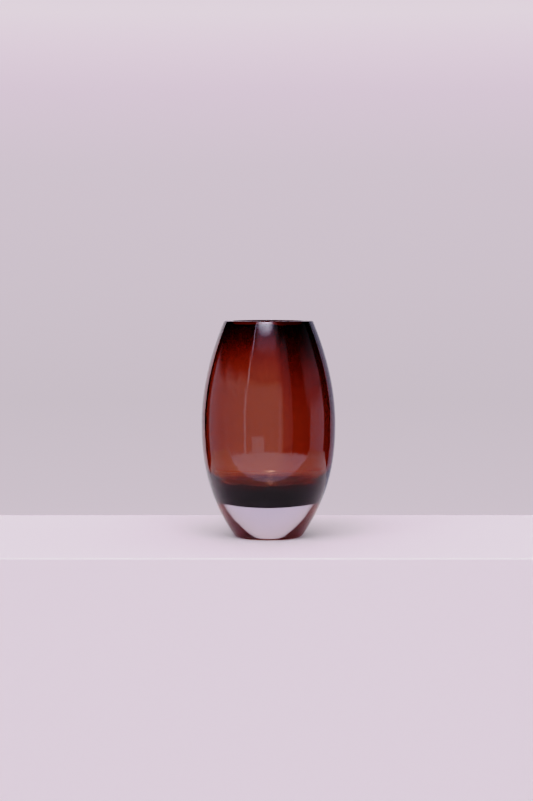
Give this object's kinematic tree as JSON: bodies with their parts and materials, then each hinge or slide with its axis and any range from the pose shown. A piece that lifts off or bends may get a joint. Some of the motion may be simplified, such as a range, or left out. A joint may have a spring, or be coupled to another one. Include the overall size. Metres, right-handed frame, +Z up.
{
  "type": "glass vase",
  "caption": "Barrel-shaped cased glass flower vase: a red-brown liner fused inside a clear casing with a heavy solid clear foot, open at a flat ground rim",
  "frame": {"origin": "the middle of the flat foot, on the surface that the vase stands on", "axes": "+Z up along the axis of the vase; the vase is round, so X and Y are any two directions square to it"},
  "size_m": [0.124, 0.124, 0.2],
  "materials": {
    "clear_glass": "clear blown glass, fire-polished outside, ground and polished rim and foot",
    "tinted_glass": "red-brown tinted blown glass, see-through at the belly and nearly black where it is thick"
  },
  "bodies": {
    "root": {"clear_casing": "clear_glass", "tinted_liner": "tinted_glass"}
  },
  "joints": []
}
